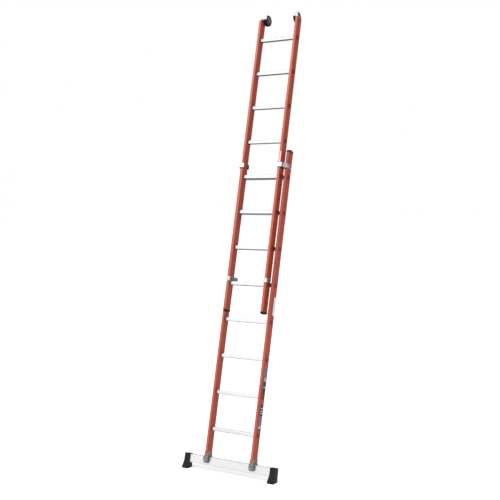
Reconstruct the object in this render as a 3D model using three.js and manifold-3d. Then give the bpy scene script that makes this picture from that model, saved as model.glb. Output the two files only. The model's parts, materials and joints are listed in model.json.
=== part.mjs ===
// Two-section extension ladder: glass-fibre box stiles, square aluminium rungs, a stabiliser
// bar with rubber-soled feet, push-up guides, pivoting rung hooks and wall rollers.
// Millimetres, +Z up, +X to the climber's right, +Y away from the climber, floor at z = 0.
import * as THREE from 'three';
import { mergeVertices } from 'three/addons/utils/BufferGeometryUtils.js';
import Module from 'manifold-3d';

// Whole ladder
const LEAN = THREE.MathUtils.degToRad(13);    // tilt away from the upright
const GAP = 0.3;                              // clearance between touching pieces
const RUNGS = 8;                              // in each section
const PITCH = 280;                            // from rung to rung
const FIRST_RUNG = 205;                       // first rung's centre above its stile's lower end
const BASE_LENGTH = 2362;                     // stiles without their caps
const FLY_LENGTH = 2330;

// Stile box section, rung tube
const STILE_WIDTH = 22;
const STILE_DEPTH = 66;
const STILE_WALL = 3.5;
const STILE_CORNER = 4;
const RUNG_SIZE = 28;
const RUNG_WALL = 2;
const RUNG_CORNER = 3;
const LIP_SIZE = 31;                          // swaged lip that locks a rung's end
const LIP_THICKNESS = 1.2;
const BEAD_THICKNESS = 2.5;                   // collar against each stile's inner face

// Where the two sections stand; y is measured from the base stiles' middle
const BASE_X = 202;
const FLY_X = 166;
const FLY_Y = -49;
const FLY_SEATED_DROP = 4;                    // fly rungs hang this far below the base rungs
const FLY_RUNGS_UP = 4;
const FLY_Z = FLY_RUNGS_UP * PITCH - FLY_SEATED_DROP;

// Stabiliser bar and its feet
const BAR_HEIGHT = 64;
const BAR_DEPTH = 30;
const BAR_WALL = 2.5;
const BAR_CORNER = 3;
const BAR_Y = 2;
const BAR_TOP = -6.5;
const BAR_HALF_LENGTH = 392;
const FOOT_TOP = -2.5;
const FOOT_TOP_X = [356, 404];
const FOOT_TOP_Y = [-19, 22];
const FOOT_SOLE_X = [352, 406];
const FOOT_SOLE_Y = [-35, 24];
const FOOT_ROUNDING = 4;
const FOOT_WAIST = -40;                       // where a foot starts to flare
const FOOT_FLARE = 30;                        // drop of the flare's curve from the waist
const FOOT_SKIRT = 8;                         // upright edge above the sole
const FOOT_CLEARANCE = 0.4;                   // around the bar's end
const FOOT_REACH_X = [300, 450];              // spans that a foot lies well inside
const FOOT_REACH_Y = [-90, 90];
const FLOOR_DROP = 110;                       // from the stiles' lower end to the floor
const PAD_THICKNESS = 10;
const PAD_GROOVE_DEPTH = 3;
const PAD_GROOVE_WIDTH = 3;
const PAD_GROOVE_PITCH = 12;
const PAD_GROOVES = 4;

// Cast shoe between stile and bar
const SHOE_WALL = 4;
const SHOE_CHEEK_HEIGHT = 36;
const SHOE_CHEEK_DEPTH = 62;
const SHOE_CHEEK_CORNER = 10;
const SHOE_LUG_WIDTH = 42;
const SHOE_LUG_DROP = 54;
const SHOE_FRONT = -33;
const SHOE_BACK_WALL = 5;
const SHOE_BOLT_Z = 19;
const BAR_BOLT_Z = -35;

// End caps
const CAP_HEIGHT = 20;
const CAP_SHOULDER = 4;                       // upright edge below the dome
const CAP_ROUNDING = 7;
const CAP_OVERHANG = 1;
const SPIGOT_LENGTH = 26;
const SPIGOT_CLEARANCE = 1.5;                 // inside the stile's bore

// Upper guide, fixed near the top of each base stile
const GUIDE_Z = 2250;
const GUIDE_HEIGHT = 35;
const STRAP = 3;
const GUIDE_SIDE_X = 190;                     // middle of the strap beside the fly stile
const GUIDE_LIP_END_X = 148;
const GUIDE_REAR_Y = 26;
const GUIDE_FRONT_SPACE = 3;                  // from the fly stile's front to the strap
const GUIDE_FRONT_Y = FLY_Y - STILE_DEPTH / 2 - GUIDE_FRONT_SPACE - STRAP / 2;
const GUIDE_JOG_SPACE = 4;                    // from the base stile's front to the strap's first bend
const LINER_SIDE_CLEARANCE = 2.8;
const LINER_FRONT_CLEARANCE = 0.8;
const LINER_EXTRA_HEIGHT = 4;
const LINER_DEPTH = 42;                       // from the fly stile's front towards the back
const LINER_CHAMFER = 20;                     // clears the strap's bend
const LINER_SETBACK = 2;                      // from the end of the strap's lip
const TONGUE_HEIGHT = 84;
const TONGUE_WIDTH = 12;
const TONGUE_X = 172;
const KEEPER_THICKNESS = 8;
const KEEPER_INNER_X = 150;
const KEEPER_HOOK = 10;
const KEEPER_REAR = 14;                       // behind the guide's bolt
const KEEPER_SOCKET = 6;                      // depth of the blind hole for the guide's bolt
const GUIDE_BOLT_Y = 6;

// Lower bracket and rung hook, on the fly stiles just above the first fly rung
const HOOK_BRACKET_HEIGHT = 33;
const HOOK_BRACKET_REAR = 29;                 // inner cheek's rear edge
const HOOK_BRACKET_LIP = 22;                  // outer cheek's rear edge
const HOOK_SEAT_Z = FIRST_RUNG + FLY_SEATED_DROP + RUNG_SIZE / 2 + GAP;
const HOOK_PIN_Y = -6;
const HOOK_PIN_Z = HOOK_SEAT_Z + 16;
const HOOK_THICKNESS = 6;
const HOOK_EYE = 14;
const HOOK_TOE_DROP = 12;
const HOOK_TOE_THICKNESS = 8;
const HOOK_TOE_TAPER = 3;
const HOOK_CLEARANCE = 0.6;                   // behind the base rung
const HOOK_LEAD = 4;                          // seat in front of the base rung
const HOOK_CHAMFER = 6;
const HOOK_PIN_HEAD = 3;

// Wall rollers at the fly's top
const ROLLER_RADIUS = 44;
const ROLLER_WIDTH = 28;
const TYRE_INNER_RADIUS = 31;
const TYRE_EDGE = 4;
const HUB_BOSS_RADIUS = 12;
const HUB_RIM_THICKNESS = 4;
const HUB_WEB = 4;                            // half the thickness of the disc between boss and rim
const HUB_SETBACK = 2;                        // of the rim from the tyre's sides
const ROLLER_INSIDE = 5.5;                    // from the stile's inner face to the roller
const ROLLER_Y = 28;
const ROLLER_Z = FLY_LENGTH + 14;
const AXLE_RADIUS = 5;
const AXLE_HEAD_RADIUS = 8.5;
const AXLE_HEAD = 4;
const BEARING_RADIUS = 5.4;
const INSERT_WIDTH = 18;
const INSERT_HEAD = [-31, 8];                 // from front to back
const INSERT_HEAD_HEIGHT = 13;
const INSERT_SPIGOT = 70;
const INSERT_BOLT_Z = FLY_LENGTH - 28;
const FORK_THICKNESS = 3;
const FORK_CLEARANCE = 1.2;                   // beside the roller and in front of it
const FORK_Z = [FLY_LENGTH + 10, FLY_LENGTH + 40];
const FORK_EYE = 16;                          // radius round the axle
const FORK_SHOULDER = 4;                      // depth of an arm's top edge

// Fasteners
const BOLT_RADIUS = 4;
const BOLT_HOLE = 4.4;
const BOLT_HEAD_RADIUS = 7.5;
const BOLT_HEAD = 5;

const wasm = await Module();
wasm.setup();

const MATERIALS = {
  stile: new THREE.MeshStandardMaterial({ color: 0xc8452a, roughness: 0.45, metalness: 0 }),
  rung: new THREE.MeshStandardMaterial({ color: 0xdcdfe0, roughness: 0.35, metalness: 1 }),
  bar: new THREE.MeshStandardMaterial({ color: 0xe6e8ea, roughness: 0.4, metalness: 1 }),
  casting: new THREE.MeshStandardMaterial({ color: 0x8b8f90, roughness: 0.6, metalness: 1 }),
  bracket: new THREE.MeshStandardMaterial({ color: 0xd2d4d6, roughness: 0.35, metalness: 1 }),
  hook: new THREE.MeshStandardMaterial({ color: 0x5b6062, roughness: 0.5, metalness: 1 }),
  bolt: new THREE.MeshStandardMaterial({ color: 0xb5b8ba, roughness: 0.3, metalness: 1 }),
  plastic: new THREE.MeshStandardMaterial({ color: 0x232426, roughness: 0.6, metalness: 0 }),
  rubber: new THREE.MeshStandardMaterial({ color: 0x1a1a1b, roughness: 0.85, metalness: 0 }),
  hub: new THREE.MeshStandardMaterial({ color: 0x6f7274, roughness: 0.55, metalness: 0 }),
};

// ---- Solids -------------------------------------------------------------------------------

function toSolid(geometry) {
  const bare = geometry.clone();
  bare.deleteAttribute('normal');
  bare.deleteAttribute('uv');
  const merged = mergeVertices(bare, 1e-4);
  return new wasm.Manifold(new wasm.Mesh({
    numProp: 3,
    vertProperties: new Float32Array(merged.attributes.position.array),
    triVerts: new Uint32Array(merged.index.array),
  }));
}

function toGeometry(solid) {
  const mesh = solid.getMesh();
  const geometry = new THREE.BufferGeometry();
  geometry.setAttribute('position', new THREE.BufferAttribute(new Float32Array(mesh.vertProperties), 3));
  geometry.setIndex(new THREE.BufferAttribute(new Uint32Array(mesh.triVerts), 1));
  geometry.computeVertexNormals();
  return geometry;
}

function join(...parts) {
  return toGeometry(parts.map(toSolid).reduce((whole, part) => whole.add(part)));
}

function cut(body, ...tools) {
  return toGeometry(tools.map(toSolid).reduce((whole, tool) => whole.subtract(tool), toSolid(body)));
}

function common(first, second) {
  return toGeometry(toSolid(first).intersect(toSolid(second)));
}

function mirrored(geometry) {
  const copy = geometry.clone().scale(-1, 1, 1);
  const index = copy.index.array;
  for (let i = 0; i < index.length; i += 3) {
    [index[i], index[i + 1]] = [index[i + 1], index[i]];
  }
  copy.computeVertexNormals();
  return copy;
}

function block(x, y, z) {
  const box = new THREE.BoxGeometry(x[1] - x[0], y[1] - y[0], z[1] - z[0]);
  return box.translate((x[0] + x[1]) / 2, (y[0] + y[1]) / 2, (z[0] + z[1]) / 2);
}

function extrude(shape, length, curveSegments) {
  return new THREE.ExtrudeGeometry(shape, { depth: length, bevelEnabled: false, curveSegments });
}

// A prism along Z from a shape drawn in X and Y.
function prismZ(shape, z, curveSegments = 2) {
  return extrude(shape, z[1] - z[0], curveSegments).translate(0, 0, z[0]);
}

// A prism along X from a shape drawn in Y and Z.
function prismX(shape, x, curveSegments = 2) {
  const turn = new THREE.Matrix4().makeBasis(
    new THREE.Vector3(0, 1, 0), new THREE.Vector3(0, 0, 1), new THREE.Vector3(1, 0, 0));
  return extrude(shape, x[1] - x[0], curveSegments).applyMatrix4(turn).translate(x[0], 0, 0);
}

// A prism along Y from a shape drawn in X and Z.
function prismY(shape, y, curveSegments = 2) {
  return extrude(shape, y[1] - y[0], curveSegments).rotateX(Math.PI / 2).translate(0, y[1], 0);
}

function rodX(radius, x, y, z, sides = 16) {
  const rod = new THREE.CylinderGeometry(radius, radius, x[1] - x[0], sides);
  return rod.rotateZ(Math.PI / 2).translate((x[0] + x[1]) / 2, y, z);
}

function rodY(radius, y, x, z, sides = 16) {
  const rod = new THREE.CylinderGeometry(radius, radius, y[1] - y[0], sides);
  return rod.translate(x, (y[0] + y[1]) / 2, z);
}

function roundedRect(width, height, radius, x = 0, y = 0, target = new THREE.Shape()) {
  const right = x + width / 2 - radius;
  const left = x - width / 2 + radius;
  const top = y + height / 2 - radius;
  const bottom = y - height / 2 + radius;
  target.absarc(right, top, radius, 0, Math.PI / 2);
  target.absarc(left, top, radius, Math.PI / 2, Math.PI);
  target.absarc(left, bottom, radius, Math.PI, 1.5 * Math.PI);
  target.absarc(right, bottom, radius, 1.5 * Math.PI, 2 * Math.PI);
  target.closePath();
  return target;
}

// A rounded tube section with a square-cornered bore.
function ringShape(outer, wall) {
  const shape = roundedRect(outer.width, outer.height, outer.radius, outer.x, outer.y);
  const halfWidth = outer.width / 2 - wall;
  const halfHeight = outer.height / 2 - wall;
  shape.holes.push(new THREE.Path([
    new THREE.Vector2(outer.x - halfWidth, outer.y - halfHeight),
    new THREE.Vector2(outer.x - halfWidth, outer.y + halfHeight),
    new THREE.Vector2(outer.x + halfWidth, outer.y + halfHeight),
    new THREE.Vector2(outer.x + halfWidth, outer.y - halfHeight),
  ]));
  return shape;
}

// The outline of sheet metal bent along a line of points.
function stripShape(points, thickness) {
  const line = points.map((point) => new THREE.Vector2(...point));
  const side = (sign) => line.map((point, i) => {
    const before = i > 0 ? point.clone().sub(line[i - 1]).normalize() : null;
    const after = i < line.length - 1 ? line[i + 1].clone().sub(point).normalize() : null;
    const along = (before ?? after).clone().add(after ?? before).normalize();
    const normal = new THREE.Vector2(-along.y, along.x);
    const edge = before ?? after;
    const mitre = (thickness / 2) / normal.dot(new THREE.Vector2(-edge.y, edge.x));
    return point.clone().addScaledVector(normal, sign * mitre);
  });
  return new THREE.Shape([...side(-1), ...side(1).reverse()]);
}

// ---- Pieces that both sections share --------------------------------------------------------

function rungHeight(i) {
  return FIRST_RUNG + i * PITCH;
}

function stile(length, sideHoles) {
  const tube = prismZ(ringShape(
    { width: STILE_WIDTH, height: STILE_DEPTH, radius: STILE_CORNER, x: 0, y: 0 }, STILE_WALL,
  ), [0, length]);
  const reach = [-STILE_WIDTH, STILE_WIDTH];
  const holes = sideHoles.map((hole) => rodX(BOLT_HOLE, reach, hole.y, hole.z, 12));
  for (let i = 0; i < RUNGS; i += 1) {
    const size = RUNG_SIZE + 2 * GAP;
    holes.push(prismX(roundedRect(size, size, RUNG_CORNER + GAP, 0, rungHeight(i)), reach, 1));
  }
  return cut(tube, ...holes);
}

// A square tube through both stiles, held by a collar on their inner faces and a lip outside.
function rung(stileX) {
  const lipInside = stileX + STILE_WIDTH / 2 + GAP;
  const end = lipInside + LIP_THICKNESS;
  const tube = { width: RUNG_SIZE, height: RUNG_SIZE, radius: RUNG_CORNER, x: 0, y: 0 };
  const lip = { width: LIP_SIZE, height: LIP_SIZE, radius: RUNG_CORNER + 1, x: 0, y: 0 };
  const lipWall = (LIP_SIZE - RUNG_SIZE) / 2 + RUNG_WALL;
  const bead = stileX - STILE_WIDTH / 2 - GAP;
  const spans = [[lipInside, end], [bead - BEAD_THICKNESS, bead]];
  const collars = spans.flatMap(([near, far]) => [[near, far], [-far, -near]]).map((x) => (
    prismX(ringShape(lip, lipWall), x, 1)));
  return join(prismX(ringShape(tube, RUNG_WALL), [-end, end], 1), ...collars);
}

// A plug with a domed top, standing on z = 0 with its spigot below.
function endCap() {
  const width = STILE_WIDTH + 2 * CAP_OVERHANG;
  const depth = STILE_DEPTH + 2 * CAP_OVERHANG;
  const crown = new THREE.Shape();
  crown.moveTo(depth / 2, GAP);
  crown.lineTo(depth / 2, CAP_SHOULDER);
  crown.absellipse(0, CAP_SHOULDER, depth / 2, CAP_HEIGHT - CAP_SHOULDER, 0, Math.PI);
  crown.lineTo(-depth / 2, GAP);
  crown.closePath();
  const shoulder = roundedRect(width, 2 * CAP_HEIGHT, CAP_ROUNDING);
  const dome = common(
    prismX(crown, [-width, width], 5),
    prismY(shoulder, [-depth, depth]),
  );
  const hollow = { width: STILE_WIDTH - 2 * STILE_WALL, depth: STILE_DEPTH - 2 * STILE_WALL };
  const halfWidth = hollow.width / 2 - SPIGOT_CLEARANCE;
  const halfDepth = hollow.depth / 2 - SPIGOT_CLEARANCE;
  const spigot = block([-halfWidth, halfWidth], [-halfDepth, halfDepth], [-SPIGOT_LENGTH, 1]);
  return join(dome, spigot);
}

// A hexagon-headed bolt along X: its head's underside is at x[1] and it ends at x[0].
function boltX(x, y, z) {
  return join(
    rodX(BOLT_RADIUS, [x[0], x[1] + 1], y, z, 12),
    rodX(BOLT_HEAD_RADIUS, [x[1] + GAP, x[1] + GAP + BOLT_HEAD], y, z, 6),
  );
}

// ---- Base section ---------------------------------------------------------------------------

function stabiliserBar() {
  const section = {
    width: BAR_DEPTH, height: BAR_HEIGHT, radius: BAR_CORNER, x: BAR_Y, y: BAR_TOP - BAR_HEIGHT / 2,
  };
  const tube = prismX(ringShape(section, BAR_WALL), [-BAR_HALF_LENGTH, BAR_HALF_LENGTH]);
  const reach = [BAR_Y - BAR_DEPTH, BAR_Y + BAR_DEPTH];
  const holes = [-BASE_X, BASE_X].map((x) => rodY(BOLT_HOLE, reach, x, BAR_BOLT_Z, 12));
  return cut(tube, ...holes);
}

// Casting that grips the stile's end between two cheeks and straddles the bar with two lugs.
function stileShoe() {
  const inside = STILE_WIDTH / 2 + GAP;
  const outside = inside + SHOE_WALL;
  const cheek = roundedRect(SHOE_CHEEK_DEPTH, 2 * SHOE_CHEEK_HEIGHT, SHOE_CHEEK_CORNER);
  const reach = [-SHOE_CHEEK_DEPTH, SHOE_CHEEK_DEPTH];
  const above = block(reach, reach, [-GAP - 1, SHOE_CHEEK_HEIGHT + 1]);
  const cheeks = [[inside, outside], [-outside, -inside]].map((x) => common(prismX(cheek, x), above));
  const plate = block(
    [-SHOE_LUG_WIDTH / 2, SHOE_LUG_WIDTH / 2], [SHOE_FRONT, SHOE_CHEEK_DEPTH / 2],
    [BAR_TOP + GAP, -GAP],
  );
  const lug = new THREE.Shape();
  const half = SHOE_LUG_WIDTH / 2;
  lug.moveTo(half, -GAP);
  lug.lineTo(-half, -GAP);
  lug.absarc(0, -SHOE_LUG_DROP + half, half, Math.PI, 2 * Math.PI);
  lug.closePath();
  const barFront = BAR_Y - BAR_DEPTH / 2 - GAP;
  const barBack = BAR_Y + BAR_DEPTH / 2 + GAP;
  const lugs = [
    prismY(lug, [SHOE_FRONT, barFront], 4),
    prismY(lug, [barBack, barBack + SHOE_BACK_WALL], 4),
  ];
  const holes = [
    rodX(BOLT_HOLE, reach, 0, SHOE_BOLT_Z, 12),
    rodY(BOLT_HOLE, reach, 0, BAR_BOLT_Z, 12),
  ];
  return cut(join(...cheeks, plate, ...lugs), ...holes).translate(BASE_X, 0, 0);
}

function shoeBolt() {
  const reach = STILE_WIDTH / 2 + GAP + SHOE_WALL;
  return boltX([-reach - 1, reach], 0, SHOE_BOLT_Z).translate(BASE_X, 0, 0);
}

function barBolt() {
  const end = BAR_Y + BAR_DEPTH / 2 + GAP + SHOE_BACK_WALL + 1;
  return join(
    rodY(BOLT_RADIUS, [SHOE_FRONT - 1, end], BASE_X, BAR_BOLT_Z, 12),
    rodY(BOLT_HEAD_RADIUS, [SHOE_FRONT - GAP - BOLT_HEAD, SHOE_FRONT - GAP], BASE_X, BAR_BOLT_Z, 6),
  );
}

// A foot's outline: straight down from the top's width to the waist, then flaring to the sole.
function flaredShape(top, sole) {
  const flareEnd = -FLOOR_DROP + FOOT_SKIRT;
  const bottom = -FLOOR_DROP - FOOT_FLARE;
  const shape = new THREE.Shape();
  shape.moveTo(top[1] - FOOT_ROUNDING, FOOT_TOP);
  shape.lineTo(top[0] + FOOT_ROUNDING, FOOT_TOP);
  shape.quadraticCurveTo(top[0], FOOT_TOP, top[0], FOOT_TOP - FOOT_ROUNDING);
  shape.lineTo(top[0], FOOT_WAIST);
  shape.quadraticCurveTo(top[0], FOOT_WAIST - FOOT_FLARE, sole[0], flareEnd);
  shape.lineTo(sole[0], bottom);
  shape.lineTo(sole[1], bottom);
  shape.lineTo(sole[1], flareEnd);
  shape.quadraticCurveTo(top[1], FOOT_WAIST - FOOT_FLARE, top[1], FOOT_WAIST);
  shape.lineTo(top[1], FOOT_TOP - FOOT_ROUNDING);
  shape.quadraticCurveTo(top[1], FOOT_TOP, top[1] - FOOT_ROUNDING, FOOT_TOP);
  return shape;
}

function footEnvelope() {
  return common(
    prismY(flaredShape(FOOT_TOP_X, FOOT_SOLE_X), FOOT_REACH_Y, 4),
    prismX(flaredShape(FOOT_TOP_Y, FOOT_SOLE_Y), FOOT_REACH_X, 4),
  );
}

// A level slab across a foot in the ladder's leaning frame, between two heights above the floor.
function levelSlab(heights, y = FOOT_REACH_Y) {
  const slab = block(FOOT_REACH_X, y, heights);
  return slab.translate(0, 0, -FLOOR_DROP * Math.cos(LEAN)).rotateX(LEAN);
}

function foot() {
  const clearance = 2 * FOOT_CLEARANCE;
  const socket = roundedRect(
    BAR_DEPTH + clearance, BAR_HEIGHT + clearance, BAR_CORNER, BAR_Y, BAR_TOP - BAR_HEIGHT / 2);
  return cut(
    footEnvelope(),
    prismX(socket, [0, BAR_HALF_LENGTH + FOOT_CLEARANCE]),
    levelSlab([-FLOOR_DROP, PAD_THICKNESS + GAP]),
  );
}

function footPad() {
  const sole = common(footEnvelope(), levelSlab([0, PAD_THICKNESS]));
  const firstGroove = -FLOOR_DROP * Math.sin(LEAN) - (PAD_GROOVES - 1) * PAD_GROOVE_PITCH / 2;
  const grooves = [];
  for (let i = 0; i < PAD_GROOVES; i += 1) {
    const middle = firstGroove + i * PAD_GROOVE_PITCH;
    const y = [middle - PAD_GROOVE_WIDTH / 2, middle + PAD_GROOVE_WIDTH / 2];
    grooves.push(levelSlab([-PAD_GROOVE_DEPTH, PAD_GROOVE_DEPTH], y));
  }
  return cut(sole, ...grooves);
}

// Bent strap: bolted to the base stile's outer face, jogged in, then round the fly stile's front.
function guideBracket() {
  const outsideX = BASE_X + STILE_WIDTH / 2 + GAP + STRAP / 2;
  const jogStart = -STILE_DEPTH / 2 - GUIDE_JOG_SPACE;
  const jogEnd = jogStart - (outsideX - GUIDE_SIDE_X);
  const z = [GUIDE_Z - GUIDE_HEIGHT / 2, GUIDE_Z + GUIDE_HEIGHT / 2];
  const strap = prismZ(stripShape([
    [outsideX, GUIDE_REAR_Y], [outsideX, jogStart], [GUIDE_SIDE_X, jogEnd],
    [GUIDE_SIDE_X, GUIDE_FRONT_Y], [GUIDE_LIP_END_X, GUIDE_FRONT_Y],
  ], STRAP), z);
  const tongueLength = TONGUE_HEIGHT + GUIDE_HEIGHT / 2;
  const tongue = prismY(
    roundedRect(TONGUE_WIDTH, tongueLength, TONGUE_WIDTH / 3, TONGUE_X, GUIDE_Z + tongueLength / 2),
    [GUIDE_FRONT_Y - STRAP / 2, GUIDE_FRONT_Y + STRAP / 2],
  );
  const hole = rodX(BOLT_HOLE, [outsideX - STRAP, outsideX + STRAP], GUIDE_BOLT_Y, GUIDE_Z, 12);
  return cut(join(strap, tongue), hole);
}

// Plastic sliding pad between the strap and the fly stile's outer and front faces.
function guideLiner() {
  const flyOutside = FLY_X + STILE_WIDTH / 2;
  const flyFront = FLY_Y - STILE_DEPTH / 2;
  const side = [flyOutside + LINER_SIDE_CLEARANCE, GUIDE_SIDE_X - STRAP / 2 - GAP];
  const front = [flyFront - GUIDE_FRONT_SPACE + GAP, flyFront - LINER_FRONT_CLEARANCE];
  const rear = flyFront + LINER_DEPTH;
  const inner = GUIDE_LIP_END_X + LINER_SETBACK;
  const shape = new THREE.Shape();
  shape.moveTo(side[0], rear);
  shape.lineTo(side[0], front[1]);
  shape.lineTo(inner, front[1]);
  shape.lineTo(inner, front[0]);
  shape.lineTo(side[1], front[0]);
  shape.lineTo(side[1], rear - LINER_CHAMFER);
  shape.closePath();
  const half = GUIDE_HEIGHT / 2 + LINER_EXTRA_HEIGHT;
  return join(prismZ(shape, [GUIDE_Z - half, GUIDE_Z + half]));
}

// Plastic keeper on the base stile's inner face, reaching round the fly stile's rear inner corner.
function guideKeeper() {
  const rearOfFly = FLY_Y + STILE_DEPTH / 2 + LINER_FRONT_CLEARANCE;
  const besideFly = FLY_X - STILE_WIDTH / 2 - LINER_FRONT_CLEARANCE;
  const baseInside = BASE_X - STILE_WIDTH / 2 - GAP;
  const rear = rearOfFly + KEEPER_THICKNESS;
  const shape = new THREE.Shape();
  shape.moveTo(baseInside, rearOfFly);
  shape.lineTo(baseInside, GUIDE_BOLT_Y + KEEPER_REAR);
  shape.lineTo(baseInside - KEEPER_THICKNESS, GUIDE_BOLT_Y + KEEPER_REAR);
  shape.lineTo(baseInside - KEEPER_THICKNESS, rear);
  shape.lineTo(KEEPER_INNER_X, rear);
  shape.lineTo(KEEPER_INNER_X, rearOfFly - KEEPER_HOOK);
  shape.lineTo(besideFly, rearOfFly - KEEPER_HOOK);
  shape.lineTo(besideFly, rearOfFly);
  shape.closePath();
  const body = prismZ(shape, [GUIDE_Z - GUIDE_HEIGHT / 2, GUIDE_Z + GUIDE_HEIGHT / 2]);
  const socket = rodX(
    BOLT_HOLE, [baseInside - KEEPER_SOCKET, baseInside + 1], GUIDE_BOLT_Y, GUIDE_Z, 12);
  return cut(body, socket);
}

function guideBolt() {
  const outside = BASE_X + STILE_WIDTH / 2 + GAP + STRAP;
  const end = BASE_X - STILE_WIDTH / 2 - GAP - KEEPER_SOCKET + 1;
  return boltX([end, outside], GUIDE_BOLT_Y, GUIDE_Z);
}

// ---- Fly section (its own stiles' middle is y = 0 and their lower end is z = 0) --------------

// Strap folded round the fly stile's front, with a cheek on each side of the stile.
function hookBracket() {
  const side = STILE_WIDTH / 2 + GAP + STRAP / 2;
  const front = -STILE_DEPTH / 2 - GAP - STRAP / 2;
  const strap = stripShape([
    [FLY_X - side, HOOK_BRACKET_REAR], [FLY_X - side, front],
    [FLY_X + side, front], [FLY_X + side, HOOK_BRACKET_LIP],
  ], STRAP);
  const bottom = FIRST_RUNG + LIP_SIZE / 2 + GAP;
  const body = prismZ(strap, [bottom, bottom + HOOK_BRACKET_HEIGHT]);
  return cut(body, rodX(BOLT_HOLE, [0, 2 * FLY_X], HOOK_PIN_Y, HOOK_PIN_Z, 12));
}

function hookInsideX() {
  return FLY_X - STILE_WIDTH / 2 - GAP - STRAP - GAP;
}

// Flat hook on the inner cheek: an eye on the pin, an arm over the base rung, a toe behind it.
function rungHook() {
  const rungBack = -FLY_Y + RUNG_SIZE / 2 + HOOK_CLEARANCE;
  const toeBack = rungBack + HOOK_TOE_THICKNESS;
  const top = HOOK_PIN_Z + HOOK_EYE;
  const shape = new THREE.Shape();
  shape.absarc(HOOK_PIN_Y, HOOK_PIN_Z, HOOK_EYE, Math.PI / 2, 1.6 * Math.PI);
  shape.lineTo(-FLY_Y - RUNG_SIZE / 2 - HOOK_LEAD, HOOK_SEAT_Z);
  shape.lineTo(rungBack, HOOK_SEAT_Z);
  shape.lineTo(rungBack, HOOK_SEAT_Z - HOOK_TOE_DROP);
  shape.lineTo(toeBack, HOOK_SEAT_Z - HOOK_TOE_DROP + HOOK_TOE_TAPER);
  shape.lineTo(toeBack, top - HOOK_CHAMFER);
  shape.lineTo(toeBack - HOOK_CHAMFER, top);
  shape.closePath();
  const outside = hookInsideX();
  const plate = prismX(shape, [outside - HOOK_THICKNESS, outside], 6);
  return cut(plate, rodX(BOLT_HOLE, [0, FLY_X], HOOK_PIN_Y, HOOK_PIN_Z, 20));
}

// Headed pin through both cheeks, the stile and the hook, riveted over on the inside.
function hookPin() {
  const outside = FLY_X + STILE_WIDTH / 2 + GAP + STRAP + GAP;
  const inside = hookInsideX() - HOOK_THICKNESS - GAP;
  return join(
    rodX(BOLT_RADIUS, [inside - 1, outside + 1], HOOK_PIN_Y, HOOK_PIN_Z),
    rodX(BOLT_HEAD_RADIUS, [outside, outside + HOOK_PIN_HEAD], HOOK_PIN_Y, HOOK_PIN_Z),
    rodX(BOLT_HEAD_RADIUS, [inside - HOOK_PIN_HEAD, inside], HOOK_PIN_Y, HOOK_PIN_Z),
  );
}

function rollerSpan() {
  const outside = FLY_X - STILE_WIDTH / 2 - ROLLER_INSIDE;
  return [outside - ROLLER_WIDTH, outside];
}

// Plug in the stile's top, with a low head on its end.
function insertSolid() {
  const head = block(
    [FLY_X - INSERT_WIDTH / 2, FLY_X + INSERT_WIDTH / 2], INSERT_HEAD,
    [FLY_LENGTH + GAP, FLY_LENGTH + INSERT_HEAD_HEIGHT]);
  const halfWidth = STILE_WIDTH / 2 - STILE_WALL - SPIGOT_CLEARANCE;
  const halfDepth = STILE_DEPTH / 2 - STILE_WALL - SPIGOT_CLEARANCE;
  const spigot = block(
    [FLY_X - halfWidth, FLY_X + halfWidth], [-halfDepth, halfDepth],
    [FLY_LENGTH - INSERT_SPIGOT, FLY_LENGTH + 2]);
  return join(head, spigot);
}

// The plug with a fork: an upright web in front of the roller and an arm on each side of it.
function rollerBracket() {
  const [inner, outer] = rollerSpan();
  const front = ROLLER_Y - ROLLER_RADIUS - FORK_CLEARANCE - FORK_THICKNESS;
  const web = block(
    [inner - FORK_CLEARANCE - FORK_THICKNESS, FLY_X], [front, front + FORK_THICKNESS], FORK_Z);
  const profile = new THREE.Shape();
  profile.moveTo(front, FORK_Z[0]);
  profile.absarc(ROLLER_Y, ROLLER_Z, FORK_EYE, -0.6 * Math.PI, 0.4 * Math.PI);
  profile.lineTo(front + FORK_SHOULDER, FORK_Z[1]);
  profile.lineTo(front, FORK_Z[1]);
  profile.closePath();
  const arms = [
    [inner - FORK_CLEARANCE - FORK_THICKNESS, inner - FORK_CLEARANCE],
    [outer + FORK_CLEARANCE, outer + FORK_CLEARANCE + FORK_THICKNESS],
  ].map((x) => prismX(profile, x, 12));
  const holes = [
    rodX(BEARING_RADIUS, [0, 2 * FLY_X], ROLLER_Y, ROLLER_Z, 20),
    rodX(BOLT_HOLE, [0, 2 * FLY_X], 0, INSERT_BOLT_Z, 12),
  ];
  return cut(join(insertSolid(), web, ...arms), ...holes);
}

function insertBolt() {
  const outside = FLY_X + STILE_WIDTH / 2;
  return boltX([FLY_X - STILE_WIDTH / 2 + 0.5, outside], 0, INSERT_BOLT_Z);
}

function rollerAxle() {
  const side = FORK_CLEARANCE + FORK_THICKNESS + GAP;
  const inner = rollerSpan()[0] - side;
  const outer = rollerSpan()[1] + side;
  return join(
    rodX(AXLE_RADIUS, [inner - 1, outer + 1], ROLLER_Y, ROLLER_Z, 20),
    rodX(AXLE_HEAD_RADIUS, [inner - AXLE_HEAD, inner], ROLLER_Y, ROLLER_Z),
    rodX(AXLE_HEAD_RADIUS, [outer, outer + AXLE_HEAD], ROLLER_Y, ROLLER_Z),
  );
}

// A body of revolution about X from a closed outline of (radius, along X) points.
function turned(outline, sides) {
  const points = [...outline, outline[0]].map((point) => new THREE.Vector2(...point));
  return new THREE.LatheGeometry(points, sides).rotateZ(-Math.PI / 2);
}

function rollerTyre() {
  const half = ROLLER_WIDTH / 2;
  const rim = half - HUB_SETBACK;
  const shoulder = ROLLER_RADIUS - TYRE_EDGE;
  const [inner, outer] = rollerSpan();
  const ring = turned([
    [TYRE_INNER_RADIUS, -rim], [shoulder, -half], [ROLLER_RADIUS, TYRE_EDGE - half],
    [ROLLER_RADIUS, half - TYRE_EDGE], [shoulder, half], [TYRE_INNER_RADIUS, rim],
  ], 36);
  return join(ring.translate((inner + outer) / 2, ROLLER_Y, ROLLER_Z));
}

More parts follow.
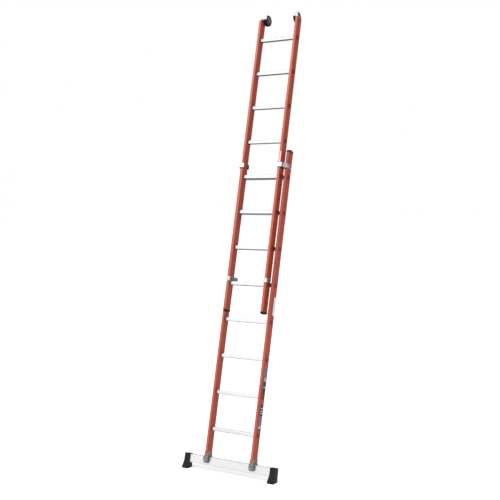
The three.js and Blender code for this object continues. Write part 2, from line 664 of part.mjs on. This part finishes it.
function rollerHub() {
  const half = ROLLER_WIDTH / 2;
  const rim = half - HUB_SETBACK;
  const edge = TYRE_INNER_RADIUS - GAP;
  const inside = edge - HUB_RIM_THICKNESS;
  const [inner, outer] = rollerSpan();
  const body = turned([
    [BEARING_RADIUS, -half], [HUB_BOSS_RADIUS, -half], [HUB_BOSS_RADIUS + 2, -HUB_WEB],
    [inside - 1, -HUB_WEB], [inside, -rim], [edge, -rim],
    [edge, rim], [inside, rim], [inside - 1, HUB_WEB],
    [HUB_BOSS_RADIUS + 2, HUB_WEB], [HUB_BOSS_RADIUS, half], [BEARING_RADIUS, half],
  ], 24);
  return join(body.translate((inner + outer) / 2, ROLLER_Y, ROLLER_Z));
}

// ---- Assembly ---------------------------------------------------------------------------------

function addPiece(group, name, geometry, material) {
  const mesh = new THREE.Mesh(geometry, material);
  mesh.name = name;
  group.add(mesh);
  return mesh;
}

function addPair(group, name, geometry, material) {
  addPiece(group, `${name}_right`, geometry, material);
  addPiece(group, `${name}_left`, mirrored(geometry), material);
}

function addRungs(group, section, stileX) {
  const geometry = rung(stileX);
  for (let i = 0; i < RUNGS; i += 1) {
    const mesh = addPiece(group, `${section}_rung_${i + 1}`, geometry, MATERIALS.rung);
    mesh.position.z = rungHeight(i);
  }
}

function baseSection() {
  const group = new THREE.Group();
  const holes = [{ y: 0, z: SHOE_BOLT_Z }, { y: GUIDE_BOLT_Y, z: GUIDE_Z }];
  addPair(group, 'base_stile', stile(BASE_LENGTH, holes).translate(BASE_X, 0, 0), MATERIALS.stile);
  addRungs(group, 'base', BASE_X);
  addPair(group, 'base_cap', endCap().translate(BASE_X, 0, BASE_LENGTH), MATERIALS.plastic);
  addPair(group, 'stile_shoe', stileShoe(), MATERIALS.casting);
  addPair(group, 'shoe_bolt', shoeBolt(), MATERIALS.bolt);
  addPiece(group, 'stabiliser_bar', stabiliserBar(), MATERIALS.bar);
  addPair(group, 'bar_bolt', barBolt(), MATERIALS.bolt);
  addPair(group, 'stabiliser_foot', foot(), MATERIALS.plastic);
  addPair(group, 'foot_pad', footPad(), MATERIALS.rubber);
  addPair(group, 'guide_bracket', guideBracket(), MATERIALS.bracket);
  addPair(group, 'guide_liner', guideLiner(), MATERIALS.plastic);
  addPair(group, 'guide_keeper', guideKeeper(), MATERIALS.plastic);
  addPair(group, 'guide_bolt', guideBolt(), MATERIALS.bolt);
  return group;
}

function flySection() {
  const group = new THREE.Group();
  const holes = [{ y: HOOK_PIN_Y, z: HOOK_PIN_Z }, { y: 0, z: INSERT_BOLT_Z }];
  addPair(group, 'fly_stile', stile(FLY_LENGTH, holes).translate(FLY_X, 0, 0), MATERIALS.stile);
  addRungs(group, 'fly', FLY_X);
  addPair(group, 'fly_cap', endCap().rotateX(Math.PI).translate(FLY_X, 0, 0), MATERIALS.plastic);
  addPair(group, 'hook_bracket', hookBracket(), MATERIALS.bracket);
  addPair(group, 'rung_hook', rungHook(), MATERIALS.hook);
  addPair(group, 'hook_pin', hookPin(), MATERIALS.bolt);
  addPair(group, 'roller_bracket', rollerBracket(), MATERIALS.bracket);
  addPair(group, 'insert_bolt', insertBolt(), MATERIALS.bolt);
  addPair(group, 'roller_axle', rollerAxle(), MATERIALS.bolt);
  addPair(group, 'roller_hub', rollerHub(), MATERIALS.hub);
  addPair(group, 'roller_tyre', rollerTyre(), MATERIALS.rubber);
  group.position.set(0, FLY_Y, FLY_Z);
  return group;
}

// The ladder leans back on its feet, and its origin is the middle of its footprint on the floor.
function assemble() {
  const ladder = new THREE.Group();
  ladder.add(baseSection(), flySection());
  ladder.rotation.x = -LEAN;
  ladder.position.z = FLOOR_DROP * Math.cos(LEAN);
  const whole = new THREE.Group();
  whole.add(ladder);
  const box = new THREE.Box3().setFromObject(whole, true);
  ladder.position.y = -(box.min.y + box.max.y) / 2;
  return whole;
}

export default assemble();
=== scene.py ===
"""Looks for the extension ladder: finishes, small trim, stickers, floor, light and camera.

Metres, in the CAD's own frame: +Z up, +X to the climber's right, +Y away from the climber.
Inside the leaning ladder, a place is (across, back, up): across from the middle plane, back
from the base stiles' middle, and up along the stiles from the base stiles' lower end.
"""

import json
import math

import bmesh
import bpy
from mathutils import Matrix, Vector


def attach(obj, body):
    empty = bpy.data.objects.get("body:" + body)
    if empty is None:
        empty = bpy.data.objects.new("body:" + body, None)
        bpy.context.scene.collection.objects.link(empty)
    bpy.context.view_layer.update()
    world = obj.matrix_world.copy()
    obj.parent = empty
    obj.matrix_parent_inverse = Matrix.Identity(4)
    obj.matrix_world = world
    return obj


# The ladder
LEAN = math.radians(13)
PITCH = 0.280
FIRST_RUNG = 0.205
RUNGS = 8
RUNG_SIZE = 0.028
RUNG_WALL = 0.002
RIB_PITCH = 0.0035
TREAD_RUNG = 3  # rungs between the first one and the one that the tread mount lies on
STILE_WIDTH = 0.022
BASE_ACROSS = 0.202
FLY_ACROSS = 0.166
FLY_BACK = -0.049
FLY_UP = 1.116
COLLAR = 0.004  # from a stile's inner face to just past the rung's collar
RUNG_END = 0.0018  # how far a rung's end stands out of its stile
GUIDE_TOP = 2.2675  # the guides' upper edge
TONGUE_REACH = 0.1  # above the guide's top, where only its tongue is
PAINTED_SHEEN_HEIGHT = 3.45  # where the painted highlight on the stiles' fronts is palest

# Trim; sticker areas are (back, up) ranges on the right base stile
PLUG_SPAN = (0.001, 0.006)  # a plug's outer and inner ends, in from the rung's end
PLUG_CLEARANCE = 0.0002
FILM = 0.0003  # thickness of a sticker
INK = 0.0002  # thickness of the marks on it
MARK_HEIGHT = 0.007
MARK_BACK = (-0.004, 0.018)
MARKS_UP = (0.256, 0.266, 0.365, 0.380, 0.402, 0.557, 0.604, 0.616, 0.628)
WHITE_AREAS = [((0.002, 0.027), (1.097, 1.237))]
NAVY_AREAS = [
    ((-0.012, 0.026), (0.504, 0.642)),
    ((-0.014, 0.027), (0.348, 0.432)),
    ((-0.014, 0.027), (0.240, 0.253)),
]
MAUVE_AREAS = [
    ((-0.012, 0.026), (0.642, 0.714)),
    ((-0.014, 0.027), (0.253, 0.348)),
]

# Edges
WELD = 0.00001  # corners closer than this are joined before the edges are rounded
EDGE = 0.0006
SMALL_EDGE = 0.0003
SMOOTH_ANGLE = math.radians(32)

# Camera, measured from the ladder's lower end
CAMERA_PLACE = Vector((3.72487, -5.65926, 1.93166))
CAMERA_TURN = math.radians(32.1197)
CAMERA_TILT = math.radians(-3.065)
CAMERA_LENS = 66.16
CAMERA_SENSOR = 36

# Light
BACKDROP = 1.0
WORLD_DARK = 0.22
WORLD_BRIGHT = 1.15
BRIGHT_SIDE = Vector((0.15, -0.95, 0.25)).normalized()
BRIGHT_SPAN = (-0.6, 0.5)  # from dark to bright, along the bright side's direction
LAMPS = {  # strength, width in degrees, and where each stands, seen from the ladder
    "key": (1.35, 45, Vector((-0.53, -0.75, 0.40))),
    "top": (1.3, 60, Vector((0.1, -0.15, 1.0))),
}
FLOOR_REACH = 60

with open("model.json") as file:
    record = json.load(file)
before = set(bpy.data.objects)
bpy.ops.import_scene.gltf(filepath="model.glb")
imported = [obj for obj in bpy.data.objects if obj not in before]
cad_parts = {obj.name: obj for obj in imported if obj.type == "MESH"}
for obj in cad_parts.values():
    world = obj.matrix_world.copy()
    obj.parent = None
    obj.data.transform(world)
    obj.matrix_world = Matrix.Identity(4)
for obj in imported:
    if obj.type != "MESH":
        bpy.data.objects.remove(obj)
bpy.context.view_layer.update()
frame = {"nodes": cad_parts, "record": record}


# ---- Places ---------------------------------------------------------------------------------


def ladder_matrix():
    """From (across, back, up) to the row frame, found from the mount on the fourth rung's top."""
    mounts = {mount["name"]: mount for mount in frame["record"]["mounts"]}
    tread = Vector(mounts["rung_tread"]["pos_m"])
    lean = Matrix.Rotation(-LEAN, 4, "X")
    up_to_tread = FIRST_RUNG + TREAD_RUNG * PITCH + RUNG_SIZE / 2
    origin = tread - lean @ Vector((0, 0, up_to_tread))
    return Matrix.Translation(origin) @ lean


LADDER = ladder_matrix()


# ---- Materials ------------------------------------------------------------------------------


class Finish:
    """A material under construction: its nodes, its shader and the ladder's own coordinates."""

    def __init__(self, name, **sockets):
        self.material = bpy.data.materials.new(name)
        self.material.use_nodes = True
        self.nodes = self.material.node_tree.nodes
        self.links = self.material.node_tree.links
        self.shader = self.nodes["Principled BSDF"]
        for socket, value in sockets.items():
            self.shader.inputs[socket.replace("_", " ")].default_value = value
        inverse = LADDER.inverted()
        coordinates = self.nodes.new("ShaderNodeTexCoord").outputs["Object"]
        mapping = self.nodes.new("ShaderNodeMapping")
        mapping.inputs["Location"].default_value = inverse.to_translation()
        mapping.inputs["Rotation"].default_value = inverse.to_euler()
        self.links.new(coordinates, mapping.inputs["Vector"])
        self.place = mapping.outputs["Vector"]

    def put(self, value, socket):
        if isinstance(value, bpy.types.NodeSocket):
            self.links.new(value, socket)
        else:
            socket.default_value = value

    def vector(self, operation, first, second):
        node = self.nodes.new("ShaderNodeVectorMath")
        node.operation = operation
        self.put(first, node.inputs[0])
        self.put(second, node.inputs[1])
        return node.outputs["Vector"]

    def math(self, operation, first, second=0.0, third=0.0):
        node = self.nodes.new("ShaderNodeMath")
        node.operation = operation
        for value, socket in zip((first, second, third), node.inputs):
            self.put(value, socket)
        return node.outputs["Value"]

    def axes(self, vector=None):
        node = self.nodes.new("ShaderNodeSeparateXYZ")
        self.put(self.place if vector is None else vector, node.inputs["Vector"])
        return node.outputs["X"], node.outputs["Y"], node.outputs["Z"]

    def noise(self, scale, detail=3.0, stretch=(1, 1, 1), roughness=0.5):
        """Noise with this many cells to the metre, times stretch along each ladder axis."""
        node = self.nodes.new("ShaderNodeTexNoise")
        self.put(self.vector("MULTIPLY", self.place, stretch), node.inputs["Vector"])
        node.inputs["Scale"].default_value = scale
        node.inputs["Detail"].default_value = detail
        node.inputs["Roughness"].default_value = roughness
        return node.outputs["Fac"]

    def speckle(self, scale):
        node = self.nodes.new("ShaderNodeTexVoronoi")
        self.put(self.place, node.inputs["Vector"])
        node.inputs["Scale"].default_value = scale
        return node.outputs["Distance"]

    def ramp(self, factor, *stops):
        """A value or colour for each (position, value) stop, smooth between them."""
        node = self.nodes.new("ShaderNodeValToRGB")
        self.put(factor, node.inputs["Fac"])
        elements = node.color_ramp.elements
        while len(elements) < len(stops):
            elements.new(0.5)
        for element, (position, value) in zip(elements, stops):
            element.position = position
            element.color = (*value, 1) if isinstance(value, tuple) else (value, value, value, 1)
        return node.outputs["Color"]

    def mix(self, factor, first, second, mode="MIX"):
        node = self.nodes.new("ShaderNodeMix")
        node.data_type = "RGBA"
        node.blend_type = mode
        self.put(factor, node.inputs["Factor"])
        for value, name in ((first, "A"), (second, "B")):
            socket = [s for s in node.inputs if s.name == name and s.type == "RGBA"][0]
            self.put((*value, 1) if isinstance(value, tuple) else value, socket)
        return [s for s in node.outputs if s.type == "RGBA"][0]

    def facing(self, axis):
        """How squarely the surface faces a ladder direction, from -1 away to 1 straight at it."""
        geometry = self.nodes.new("ShaderNodeNewGeometry")
        node = self.nodes.new("ShaderNodeVectorMath")
        node.operation = "DOT_PRODUCT"
        self.put(geometry.outputs["Normal"], node.inputs[0])
        self.put(tuple(LADDER.to_3x3() @ Vector(axis)), node.inputs[1])
        return node.outputs["Value"]

    def colour(self, value):
        self.put(value, self.shader.inputs["Base Color"])

    def gloss(self, factor, low, high):
        self.put(self.ramp(factor, (0.3, low), (0.7, high)), self.shader.inputs["Roughness"])

    def bump(self, *layers):
        """Adds (height, depth in metres) layers of relief, one on another."""
        normal = None
        for height, depth in layers:
            node = self.nodes.new("ShaderNodeBump")
            node.inputs["Strength"].default_value = 1.0
            node.inputs["Distance"].default_value = depth
            self.put(height, node.inputs["Height"])
            if normal is not None:
                self.links.new(normal, node.inputs["Normal"])
            normal = node.outputs["Normal"]
        self.links.new(normal, self.shader.inputs["Normal"])


def glass_fibre():
    """Orange-red pultruded box section: fibres along its length, a painted highlight that pales its
    front towards the top, and sides a little paler towards the top.
    """
    finish = Finish("glass_fibre", Specular_IOR_Level=0.2, Coat_Weight=0.1, Coat_Roughness=0.28)
    _, _, up = finish.axes()
    fibres = finish.noise(900, detail=4, stretch=(1, 1, 0.012))
    streaks = finish.noise(160, detail=3, stretch=(1, 1, 0.02))
    mottle = finish.noise(9, detail=4)
    base = finish.ramp(
        streaks,
        (0.3, (0.28, 0.020, 0.005)),
        (0.55, (0.34, 0.026, 0.006)),
        (0.75, (0.38, 0.036, 0.010)),
    )
    lit = finish.mix(finish.ramp(fibres, (0.45, 0.0), (0.7, 0.25)), base, (0.44, 0.080, 0.036))
    worn = finish.mix(finish.ramp(mottle, (0.35, 0.35), (0.65, 0.0)), lit, (0.24, 0.018, 0.005))
    # Painted highlight: the fronts are painted paler towards the top, in patches, for the sheen on
    # them; the sides are painted a little paler towards the top as well.
    height = finish.math("DIVIDE", up, PAINTED_SHEEN_HEIGHT)
    pale_tint = finish.ramp(height, (0.2, (0.26, 0.074, 0.048)), (0.9, (0.33, 0.145, 0.11)))
    patchy = finish.ramp(finish.noise(14, detail=4, stretch=(1, 1, 0.3)), (0.3, 0.55), (0.7, 0.95))
    front = finish.ramp(finish.facing((0, -1, 0)), (0.5, 0.0), (0.95, 1.0))
    front_painted_sheen = finish.math("MULTIPLY", front, patchy)
    side_paling = finish.math("MULTIPLY", height, 0.18)
    sheen_and_paling = finish.math("MAXIMUM", front_painted_sheen, side_paling)
    finish.colour(finish.mix(sheen_and_paling, worn, pale_tint))
    finish.gloss(streaks, 0.34, 0.5)
    finish.bump((fibres, 0.00012), (finish.noise(60, detail=2), 0.0001))
    return finish.material


def rung_metal(name, stile_across):
    """Mill-finish extrusion with ribs on its treads, worn bright; painted shade darkens its rib
    grooves, its undersides and its swaged ends.
    """
    finish = Finish(name, Metallic=0.88)
    across, back, _ = finish.axes()
    lines = finish.noise(700, detail=4, stretch=(0.01, 1, 1))
    smudges = finish.noise(28, detail=4)
    ribs = finish.math("PINGPONG", finish.math("DIVIDE", back, RIB_PITCH), 0.5)
    on_tread = finish.math("GREATER_THAN", finish.math("ABSOLUTE", finish.facing((0, 0, 1))), 0.9)
    relief = finish.math("MULTIPLY", finish.math("SMOOTH_MIN", ribs, 0.32, 0.1), on_tread)
    # Painted shade: the bottoms of the grooves between the tread ribs are painted darker.
    groove_shade = finish.math("MULTIPLY", finish.ramp(ribs, (0.04, 1.0), (0.2, 0.0)), on_tread)
    base = finish.ramp(smudges, (0.35, (0.32, 0.323, 0.328)), (0.6, (0.37, 0.373, 0.378)))
    base = finish.mix(finish.ramp(lines, (0.4, 0.2), (0.65, 0.0)), base, (0.28, 0.283, 0.288))
    base = finish.mix(groove_shade, base, (0.13, 0.13, 0.135))
    # Painted shade: the undersides and the lower rounded corners are painted dark, mottled by the
    # smudges.
    underside_shade = finish.ramp(smudges, (0.3, (0.035, 0.036, 0.038)), (0.7, (0.085, 0.085, 0.09)))
    base = finish.mix(finish.ramp(finish.facing((0, 0, -1)), (0.1, 0.0), (0.35, 1.0)), base, underside_shade)
    side = finish.math("ABSOLUTE", across)
    at_collar = finish.math("GREATER_THAN", side, stile_across - STILE_WIDTH / 2 - COLLAR)
    base = finish.mix(finish.math("MULTIPLY", at_collar, 0.8), base, (0.34, 0.105, 0.07))
    # Painted shade: the ends that stand out of the stiles are painted dark reddish brown, for the
    # shade in their open ends.
    at_end = finish.math("GREATER_THAN", side, stile_across + STILE_WIDTH / 2)
    end_shade = finish.ramp(finish.noise(220), (0.35, (0.18, 0.022, 0.015)), (0.7, (0.28, 0.048, 0.033)))
    finish.colour(finish.mix(at_end, base, end_shade))
    finish.gloss(smudges, 0.32, 0.46)
    finish.bump((relief, 0.0005), (lines, 0.00004))
    return finish.material


def bar_metal():
    finish = Finish("bar_metal", Metallic=0.75)
    lines = finish.noise(500, detail=4, stretch=(0.008, 1, 1))
    haze = finish.noise(12, detail=4)
    base = finish.ramp(haze, (0.35, (0.37, 0.374, 0.38)), (0.65, (0.42, 0.424, 0.43)))
    finish.colour(finish.mix(finish.ramp(lines, (0.42, 0.2), (0.62, 0.0)), base, (0.34, 0.344, 0.35)))
    finish.gloss(haze, 0.36, 0.5)
    finish.bump((lines, 0.00004))
    return finish.material


def cast_metal():
    """Sand-cast aluminium, grainy and grey, with stile dust on the cheeks beside the stiles."""
    finish = Finish("cast_metal", Metallic=0.7)
    grain = finish.noise(900, detail=5, roughness=0.65)
    patches = finish.noise(45, detail=4)
    base = finish.ramp(patches, (0.35, (0.11, 0.112, 0.108)), (0.65, (0.21, 0.214, 0.208)))
    base = finish.mix(finish.ramp(grain, (0.4, 0.5), (0.6, 0.0)), base, (0.08, 0.082, 0.08))
    _, _, up = finish.axes()
    beside_stile = finish.math("GREATER_THAN", up, 0.0)
    dust = finish.ramp(patches, (0.3, 0.4), (0.7, 0.8))
    dusty_cheek = finish.math("MULTIPLY", beside_stile, dust)
    finish.colour(finish.mix(dusty_cheek, base, (0.34, 0.21, 0.14)))
    finish.gloss(grain, 0.48, 0.68)
    finish.bump((grain, 0.0005), (patches, 0.0006))
    return finish.material


def sheet_metal(name, dull, bright):
    """Bent sheet, brushed, scratched by sliding, with stile dust on its sides and tongues."""
    finish = Finish(name, Metallic=0.85)
    _, _, up = finish.axes()
    brushed = finish.noise(1200, detail=4, stretch=(0.05, 0.05, 1))
    scratches = finish.noise(420, detail=2, stretch=(1, 1, 0.02))
    clouds = finish.noise(40, detail=3)
    base = finish.ramp(clouds, (0.35, dull), (0.65, bright))
    streaked = finish.mix(finish.ramp(scratches, (0.62, 0.0), (0.72, 0.5)), base, (0.30, 0.30, 0.31))
    side = finish.ramp(finish.math("ABSOLUTE", finish.facing((1, 0, 0))), (0.6, 0.0), (0.9, 0.6))
    streaked = finish.mix(side, streaked, (0.55, 0.36, 0.33))
    above_guide = finish.math("GREATER_THAN", up, GUIDE_TOP)
    below_tip = finish.math("LESS_THAN", up, GUIDE_TOP + TONGUE_REACH)
    on_tongue = finish.math("MULTIPLY", above_guide, below_tip)
    dust = finish.mix(finish.ramp(clouds, (0.3, 0.3), (0.7, 0.9)), streaked, (0.30, 0.16, 0.13))
    finish.colour(finish.mix(on_tongue, streaked, dust))
    finish.gloss(brushed, 0.26, 0.44)
    finish.bump((brushed, 0.00004), (scratches, 0.00005))
    return finish.material


def hook_steel():
    """Dull plated steel, dark where it is worn and oily."""
    finish = Finish("hook_steel", Metallic=0.85)
    clouds = finish.noise(120, detail=4)
    grain = finish.noise(1500, detail=3)
    base = finish.ramp(clouds, (0.3, (0.09, 0.092, 0.094)), (0.7, (0.27, 0.272, 0.274)))
    finish.colour(finish.mix(finish.ramp(grain, (0.5, 0.0), (0.7, 0.4)), base, (0.32, 0.32, 0.32)))
    finish.gloss(clouds, 0.34, 0.55)
    finish.bump((grain, 0.00012), (clouds, 0.0002))
    return finish.material


def zinc():
    finish = Finish("zinc", Metallic=0.95)
    spangle = finish.speckle(700)
    clouds = finish.noise(200, detail=3)
    base = finish.ramp(spangle, (0.1, (0.15, 0.152, 0.156)), (0.7, (0.25, 0.252, 0.255)))
    finish.colour(finish.mix(finish.ramp(clouds, (0.4, 0.3), (0.6, 0.0)), base, (0.12, 0.12, 0.12)))
    finish.gloss(clouds, 0.36, 0.52)
    finish.bump((spangle, 0.00008))
    return finish.material


def black_plastic():
    """Moulded plastic with a fine leather grain, and a streaky painted highlight on its sides."""
    finish = Finish("black_plastic", Specular_IOR_Level=0.08)
    grain = finish.speckle(1100)
    haze = finish.noise(60, detail=4)
    base = finish.ramp(haze, (0.35, (0.004, 0.004, 0.0045)), (0.7, (0.010, 0.010, 0.011)))
    base = finish.mix(finish.ramp(grain, (0.1, 0.0), (0.6, 0.4)), base, (0.016, 0.016, 0.018))
    # Painted highlight: the sides facing across are painted lighter grey, in streaks.
    streaked = finish.ramp(finish.noise(220, detail=2, stretch=(1, 1, 0.1)), (0.48, 0.0), (0.6, 1.0))
    side = finish.ramp(finish.math("ABSOLUTE", finish.facing((1, 0, 0))), (0.6, 0.0), (0.95, 1.0))
    finish.colour(finish.mix(finish.math("MULTIPLY", side, streaked), base, (0.045, 0.045, 0.045)))
    finish.gloss(haze, 0.42, 0.58)
    finish.bump((grain, 0.00012))
    return finish.material


def rubber():
    """Black rubber, dusty where it touches walls and floors."""
    finish = Finish("rubber", Specular_IOR_Level=0.1)
    dust = finish.noise(90, detail=5, roughness=0.6)
    pores = finish.noise(1800, detail=2)
    finish.colour(finish.ramp(dust, (0.4, (0.003, 0.003, 0.003)), (0.75, (0.016, 0.015, 0.014))))
    finish.gloss(dust, 0.62, 0.82)
    finish.bump((pores, 0.00012), (dust, 0.0002))
    return finish.material


def brown_plastic(name, dark, light):
    """Reddish brown moulded plastic, dull and dusty."""
    finish = Finish(name, Specular_IOR_Level=0.2)
    haze = finish.noise(150, detail=4)
    grain = finish.speckle(1300)
    finish.colour(finish.ramp(haze, (0.35, dark), (0.7, light)))
    finish.gloss(haze, 0.5, 0.65)
    finish.bump((grain, 0.0001))
    return finish.material


def hub_plastic():
    finish = Finish("hub_plastic", Specular_IOR_Level=0.25)
    haze = finish.noise(110, detail=4)
    grain = finish.speckle(1400)
    finish.colour(finish.ramp(haze, (0.35, (0.075, 0.078, 0.08)), (0.65, (0.125, 0.128, 0.13))))
    finish.gloss(haze, 0.4, 0.55)
    finish.bump((grain, 0.0001))
    return finish.material


def sticker_paper(name, colour, worn):
    """Printed film with a faint weave and scuffed patches."""
    finish = Finish(name, Specular_IOR_Level=0.2)
    scuffs = finish.noise(140, detail=5, roughness=0.65)
    weave = finish.noise(2500, detail=1)
    finish.colour(finish.mix(finish.ramp(scuffs, (0.5, 0.0), (0.75, 0.6)), colour, worn))
    finish.gloss(scuffs, 0.3, 0.5)
    finish.bump((weave, 0.00003))
    return finish.material


def floor_finish():
    """Pale translucent floor, softly lit from below, with barely visible clouds."""
    finish = Finish(
        "floor_finish",
        Specular_IOR_Level=0.2,
        Emission_Color=(1, 1, 1, 1),
        Emission_Strength=0.5,
    )
    clouds = finish.noise(1.4, detail=5)
    finish.colour(finish.ramp(clouds, (0.3, (0.52, 0.52, 0.52)), (0.7, (0.55, 0.55, 0.55))))
    finish.gloss(clouds, 0.7, 0.85)
    finish.bump((finish.noise(300, detail=2), 0.00005))
    return finish.material


# ---- CAD nodes ------------------------------------------------------------------------------

FINISHES = {
    "stile": glass_fibre(),
    "bar": bar_metal(),
    "casting": cast_metal(),
    "bracket": sheet_metal("sheet_metal", (0.34, 0.34, 0.345), (0.41, 0.41, 0.415)),
    "hook": hook_steel(),
    "bolt": zinc(),
    "plastic": black_plastic(),
    "rubber": rubber(),
    "hub": hub_plastic(),
}
SPECIAL_FINISHES = {  # for pieces that differ from their slot's finish
    "hook_bracket": sheet_metal("dull_sheet_metal", (0.22, 0.222, 0.215), (0.32, 0.322, 0.31)),
    "roller_bracket": sheet_metal("fork_sheet_metal", (0.26, 0.26, 0.26), (0.36, 0.355, 0.35)),
    "guide_keeper": brown_plastic("keeper_plastic", (0.065, 0.012, 0.010), (0.13, 0.022, 0.017)),
    "base_cap": brown_plastic("cap_plastic", (0.018, 0.005, 0.005), (0.045, 0.011, 0.010)),
}
# Painted shade: dark plugs inside the rungs' open ends, standing in for the shade in the tubes.
SHADE_PLUG_FINISH = brown_plastic("shade_plug_plastic", (0.075, 0.018, 0.014), (0.15, 0.035, 0.024))
RUNG_FINISHES = {
    "base": rung_metal("base_rung_metal", BASE_ACROSS),
    "fly": rung_metal("fly_rung_metal", FLY_ACROSS),
}


def soften(obj, edge):
    """Rounds the edges of a piece by modifiers, and shades the rest of it smoothly."""
    weld = obj.modifiers.new("weld", "WELD")
    weld.merge_threshold = WELD
    bevel = obj.modifiers.new("round_edges", "BEVEL")
    bevel.width = edge
    bevel.segments = 2
    bevel.limit_method = "ANGLE"
    bevel.angle_limit = SMOOTH_ANGLE
    bevel.use_clamp_overlap = True
    bevel.harden_normals = False
    normals = obj.modifiers.new("normals", "WEIGHTED_NORMAL")
    normals.keep_sharp = True
    for polygon in obj.data.polygons:
        polygon.use_smooth = True


def finish_nodes():
    slots = {part["node"]: part["material_slot"] for part in frame["record"]["subparts"]}
    for name, obj in frame["nodes"].items():
        slot = slots[name]
        if slot == "rung":
            material = RUNG_FINISHES[name.split("_")[0]]
        else:
            material = SPECIAL_FINISHES.get(name.rsplit("_", 1)[0], FINISHES[slot])
        obj.data.materials.clear()
        obj.data.materials.append(material)
        soften(obj, SMALL_EDGE if slot in ("bracket", "bolt", "rung") else EDGE)


# ---- Trim -----------------------------------------------------------------------------------


def blocks(name, boxes, material, body, edge=SMALL_EDGE):
    """One piece made of boxes, each given as (across, back, up) ranges in the leaning ladder."""
    mesh = bpy.data.meshes.new(name)
    shape = bmesh.new()
    for ranges in boxes:
        middle = Vector([(low + high) / 2 for low, high in ranges])
        size = Vector([high - low for low, high in ranges])
        place = Matrix.Translation(middle) @ Matrix.Diagonal((*size, 1))
        bmesh.ops.create_cube(shape, size=1, matrix=LADDER @ place)
    shape.to_mesh(mesh)
    shape.free()
    obj = bpy.data.objects.new(name, mesh)
    bpy.context.scene.collection.objects.link(obj)
    obj.data.materials.append(material)
    if edge:
        soften(obj, edge)
    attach(obj, body)
    return obj


def rung_shade_plugs():
    """Dark plastic plugs set just inside the open ends of every rung, as painted shade for the inside
    of the tubes.
    """
    half = RUNG_SIZE / 2 - RUNG_WALL - PLUG_CLEARANCE
    sections = (
        ("base", BASE_ACROSS, 0, 0),
        ("fly", FLY_ACROSS, FLY_BACK, FLY_UP),
    )
    for body, across, back, up in sections:
        end = across + STILE_WIDTH / 2 + RUNG_END
        outer, inner = (end - depth for depth in PLUG_SPAN)
        boxes = []
        for i in range(RUNGS):
            height = up + FIRST_RUNG + i * PITCH
            for span in ((inner, outer), (-outer, -inner)):
                boxes.append((span, (back - half, back + half), (height - half, height + half)))
        blocks(f"{body}_rung_shade_plugs", boxes, SHADE_PLUG_FINISH, body)


def stickers():
    """Plain stickers on the right base stile's outer face: blocks of colour, with no lettering."""
    face = BASE_ACROSS + STILE_WIDTH / 2
    white = sticker_paper("white_film", (0.62, 0.61, 0.62), (0.42, 0.38, 0.37))
    navy = sticker_paper("navy_film", (0.012, 0.009, 0.040), (0.06, 0.022, 0.05))
    mauve = sticker_paper("mauve_film", (0.145, 0.098, 0.138), (0.24, 0.17, 0.21))
    sheets = (
        ("white_sticker", white, WHITE_AREAS),
        ("navy_stickers", navy, NAVY_AREAS),
        ("mauve_stickers", mauve, MAUVE_AREAS),
    )
    for name, material, areas in sheets:
        boxes = [((face, face + FILM), back, up) for back, up in areas]
        blocks(name, boxes, material, "base", edge=0)
    marks = [
        ((face + FILM, face + FILM + INK), MARK_BACK, (up, up + MARK_HEIGHT))
        for up in MARKS_UP
    ]
    blocks("sticker_marks", marks, white, "base", edge=0)


# ---- Stage ----------------------------------------------------------------------------------


def stage():
    mesh = bpy.data.meshes.new("floor")
    shape = bmesh.new()
    bmesh.ops.create_grid(shape, x_segments=1, y_segments=1, size=FLOOR_REACH)
    shape.to_mesh(mesh)
    shape.free()
    floor = bpy.data.objects.new("floor", mesh)
    bpy.context.scene.collection.objects.link(floor)
    floor.data.materials.append(floor_finish())


def light():
    bpy.context.scene.view_settings.view_transform = "Standard"
    world = bpy.data.worlds.new("studio")
    bpy.context.scene.world = world
    world.use_nodes = True
    nodes = world.node_tree.nodes
    links = world.node_tree.links
    direction = nodes.new("ShaderNodeTexCoord")
    towards = nodes.new("ShaderNodeVectorMath")
    towards.operation = "DOT_PRODUCT"
    towards.inputs[1].default_value = BRIGHT_SIDE
    softbox = nodes.new("ShaderNodeMapRange")
    softbox.interpolation_type = "SMOOTHSTEP"
    softbox.inputs["From Min"].default_value = BRIGHT_SPAN[0]
    softbox.inputs["From Max"].default_value = BRIGHT_SPAN[1]
    softbox.inputs["To Min"].default_value = WORLD_DARK
    softbox.inputs["To Max"].default_value = WORLD_BRIGHT
    sight = nodes.new("ShaderNodeLightPath")
    plain = nodes.new("ShaderNodeMix")
    plain.inputs["B"].default_value = BACKDROP
    background = nodes["Background"]
    background.inputs["Color"].default_value = (1, 1, 1, 1)
    links.new(direction.outputs["Generated"], towards.inputs[0])
    links.new(towards.outputs["Value"], softbox.inputs["Value"])
    links.new(softbox.outputs["Result"], plain.inputs["A"])
    links.new(sight.outputs["Is Camera Ray"], plain.inputs["Factor"])
    links.new(plain.outputs["Result"], background.inputs["Strength"])
    for name, (strength, width, place) in LAMPS.items():
        data = bpy.data.lights.new(name, "SUN")
        data.energy = strength
        data.angle = math.radians(width)
        lamp = bpy.data.objects.new(name, data)
        bpy.context.scene.collection.objects.link(lamp)
        lamp.rotation_mode = "QUATERNION"
        lamp.rotation_quaternion = (-place).to_track_quat("-Z", "Y")


def camera():
    data = bpy.data.cameras.new("camera")
    data.sensor_width = CAMERA_SENSOR
    data.lens = CAMERA_LENS
    obj = bpy.data.objects.new("camera", data)
    bpy.context.scene.collection.objects.link(obj)
    obj.location = LADDER.to_translation() + CAMERA_PLACE
    forward = Vector((
        -math.sin(CAMERA_TURN) * math.cos(CAMERA_TILT),
        math.cos(CAMERA_TURN) * math.cos(CAMERA_TILT),
        math.sin(CAMERA_TILT),
    ))
    obj.rotation_mode = "QUATERNION"
    obj.rotation_quaternion = forward.to_track_quat("-Z", "Y")
    bpy.context.scene.camera = obj


finish_nodes()
rung_shade_plugs()
stickers()
stage()
light()
camera()
